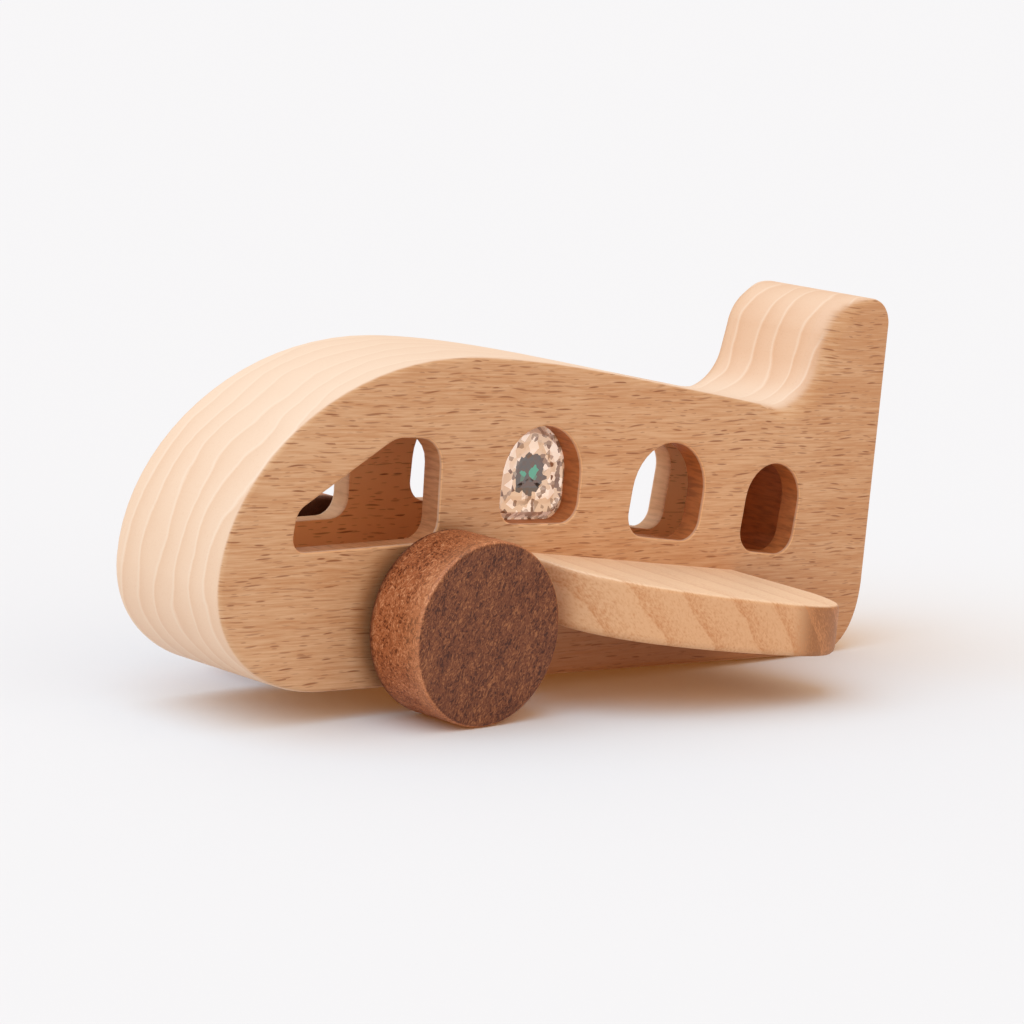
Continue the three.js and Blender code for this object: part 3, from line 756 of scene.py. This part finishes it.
class TOYPLANE_OT_wheels(bpy.types.Operator):
    """Two walnut wheels with eased edges and blind bores"""

    bl_idname = "toyplane.wheels"
    bl_label = "Wheels"

    ease: length_property("Ease", "Rounding of the wheel's edges", 0.0011)
    bore_gap: length_property("Bore gap", "From the axle to the bore's wall", 0.0003)
    bore_depth: length_property("Bore depth", "Depth of the bore", 0.010)

    def execute(self, context):
        material = walnut("Walnut", wood())
        radius = (WHEEL_HIGH.z - WHEEL_LOW.z) / 2
        bore = (AXLE_HIGH.z - AXLE_LOW.z) / 2 + self.bore_gap
        for side, name in ((1, "port"), (-1, "starboard")):
            low, high = sorted((side * WHEEL_LOW.y, side * WHEEL_HIGH.y))
            wheel = start_cylinder(f"{name}_walnut_wheel", radius, low, high, AXLE, WHEEL_SIDES)
            inner = side * WHEEL_LOW.y
            edit_with(wheel, "FACE", lambda face: abs(face.calc_center_median().y - inner) < FLUSH
                      and abs(face.normal.y) > 0.9)
            bpy.ops.mesh.inset(thickness=radius - bore)
            bpy.ops.mesh.extrude_region_move(
                TRANSFORM_OT_translate={"value": (0, side * self.bore_depth, 0)})
            leave_edit()
            edit_with(
                wheel, "EDGE",
                lambda edge: abs(edge.verts[0].co.y - edge.verts[1].co.y) < FLUSH
                and all(math.hypot(v.co.x - AXLE.x, v.co.z - AXLE.z) > radius - FLUSH
                        for v in edge.verts))
            bpy.ops.mesh.bevel(offset=self.ease, segments=5, profile=0.5)
            leave_edit()
            smooth(wheel)
            finished(wheel, material, "wheel_walnut", "wheelset", f"{name}_wheel")
        return {"FINISHED"}


class TOYPLANE_OT_crystal(bpy.types.Operator):
    """The cut stone behind the second port window"""

    bl_idname = "toyplane.crystal"
    bl_label = "Crystal"

    inset: length_property("Inset", "Width of a ring of facets", 0.0017)
    rise: length_property("Rise", "Height of a ring of facets", 0.00035)

    def execute(self, context):
        stone = welded_copy("window_crystal", "cut_crystal")
        front = STONE_HIGH.y - FLUSH
        edit_with(stone, "FACE", lambda face: all(v.co.y > front for v in face.verts))
        for step in range(context.scene.toy_stone.steps):
            turn = -1 if step % 2 == 0 else 1
            bpy.ops.mesh.inset(thickness=self.inset, depth=turn * self.rise)
        bpy.ops.mesh.poke()
        leave_edit()
        edit_with(stone, "FACE", lambda face: True)
        bpy.ops.mesh.quads_convert_to_tris(quad_method="SHORTEST_DIAGONAL")
        leave_edit()
        finished(stone, cut_crystal("Cut crystal", context.scene.toy_stone), "crystal", "fuselage",
                 "window_crystal")
        return {"FINISHED"}


class TOYPLANE_OT_stage(bpy.types.Operator):
    """Camera, pale floor and soft studio light"""

    bl_idname = "toyplane.stage"
    bl_label = "Stage"

    def execute(self, context):
        settings = context.scene.toy_stage
        self.camera(context, settings)
        self.floor(settings)
        self.lights(context, settings)
        return {"FINISHED"}

    def camera(self, context, settings):
        level = math.cos(settings.pitch)
        forward = Vector((-math.sin(settings.yaw) * level, -math.cos(settings.yaw) * level,
                          -math.sin(settings.pitch)))
        right = forward.cross(Vector((0, 0, 1))).normalized()
        up = right.cross(forward)
        rolled_right = right * math.cos(settings.roll) + up * math.sin(settings.roll)
        rolled_up = up * math.cos(settings.roll) - right * math.sin(settings.roll)
        middle = (CAD_BOX[0] + CAD_BOX[1]) / 2
        aim = middle + rolled_right * settings.shift_right + rolled_up * settings.shift_up
        data = bpy.data.cameras.new("Camera")
        data.lens = settings.lens
        data.clip_start = 0.01
        data.clip_end = 100
        camera = bpy.data.objects.new("Camera", data)
        axes = Matrix((rolled_right, rolled_up, -forward)).transposed().to_4x4()
        camera.matrix_world = Matrix.Translation(aim - forward * settings.distance) @ axes
        context.scene.collection.objects.link(camera)
        context.scene.camera = camera
        context.scene.view_settings.view_transform = "Standard"

    def floor(self, settings):
        deselect()
        bpy.ops.mesh.primitive_plane_add(size=settings.floor_size, location=(0, 0, 0))
        floor = bpy.context.object
        floor.name = "Floor"
        finish = Finish("Pale floor")
        # The floor's faint warm light is painted light.
        floor.data.materials.append(finish.surface(
            settings.floor_colour, 0.9, Specular_IOR_Level=0.0,
            Emission_Color=opaque(settings.floor_glow_colour), Emission_Strength=settings.floor_glow))

    def lights(self, context, settings):
        lamp = bpy.data.lights.new("Key", "SUN")
        lamp.energy = settings.key
        lamp.color = settings.key_colour
        lamp.angle = settings.key_softness
        key = bpy.data.objects.new("Key", lamp)
        source = Vector((math.cos(settings.key_turn) * math.cos(settings.key_height),
                         math.sin(settings.key_turn) * math.cos(settings.key_height),
                         math.sin(settings.key_height)))
        key.rotation_euler = source.to_track_quat("Z", "Y").to_euler()
        context.scene.collection.objects.link(key)
        world = bpy.data.worlds.new("Studio")
        world.use_nodes = True
        context.scene.world = world
        tree = world.node_tree
        tree.nodes.clear()
        path = tree.nodes.new("ShaderNodeLightPath")
        light, seen = (tree.nodes.new("ShaderNodeBackground") for _ in range(2))
        light.inputs["Strength"].default_value = settings.sky
        seen.inputs["Strength"].default_value = settings.backdrop
        light.inputs["Color"].default_value = opaque(settings.sky_colour)
        seen.inputs["Color"].default_value = (1, 1, 1, 1)
        choice = tree.nodes.new("ShaderNodeMixShader")
        output = tree.nodes.new("ShaderNodeOutputWorld")
        tree.links.new(path.outputs["Is Camera Ray"], choice.inputs["Fac"])
        tree.links.new(light.outputs[0], choice.inputs[1])
        tree.links.new(seen.outputs[0], choice.inputs[2])
        tree.links.new(choice.outputs[0], output.inputs["Surface"])


class TOYPLANE_PT_panel(bpy.types.Panel):
    """Lists the steps that build the toy"""

    bl_idname = "TOYPLANE_PT_panel"
    bl_label = "Toy plane"
    bl_space_type = "VIEW_3D"
    bl_region_type = "UI"
    bl_category = "Toy plane"

    def draw(self, context):
        column = self.layout.column(align=True)
        for operator in OPERATORS:
            column.operator(operator.bl_idname)
        for settings in (context.scene.toy_stage, context.scene.toy_wood, context.scene.toy_stone):
            box = self.layout.box()
            for name in settings.__annotations__:
                box.prop(settings, name)


SETTINGS = {"toy_stage": StageSettings, "toy_wood": WoodSettings, "toy_stone": StoneSettings}
OPERATORS = (
    TOYPLANE_OT_body,
    TOYPLANE_OT_wings,
    TOYPLANE_OT_dowels,
    TOYPLANE_OT_wheels,
    TOYPLANE_OT_crystal,
    TOYPLANE_OT_stage,
)


def register():
    for kind in (*SETTINGS.values(), *OPERATORS, TOYPLANE_PT_panel):
        bpy.utils.register_class(kind)
    for name, kind in SETTINGS.items():
        setattr(bpy.types.Scene, name, PointerProperty(type=kind))


def unregister():
    for name in SETTINGS:
        delattr(bpy.types.Scene, name)
    for kind in (TOYPLANE_PT_panel, *reversed(OPERATORS), *reversed(SETTINGS.values())):
        bpy.utils.unregister_class(kind)


def main():
    register()
    bpy.ops.toyplane.stage()
    bpy.ops.toyplane.body()
    bpy.ops.toyplane.wings()
    bpy.ops.toyplane.dowels()
    bpy.ops.toyplane.wheels()
    bpy.ops.toyplane.crystal()


if __name__ == "__main__":
    main()
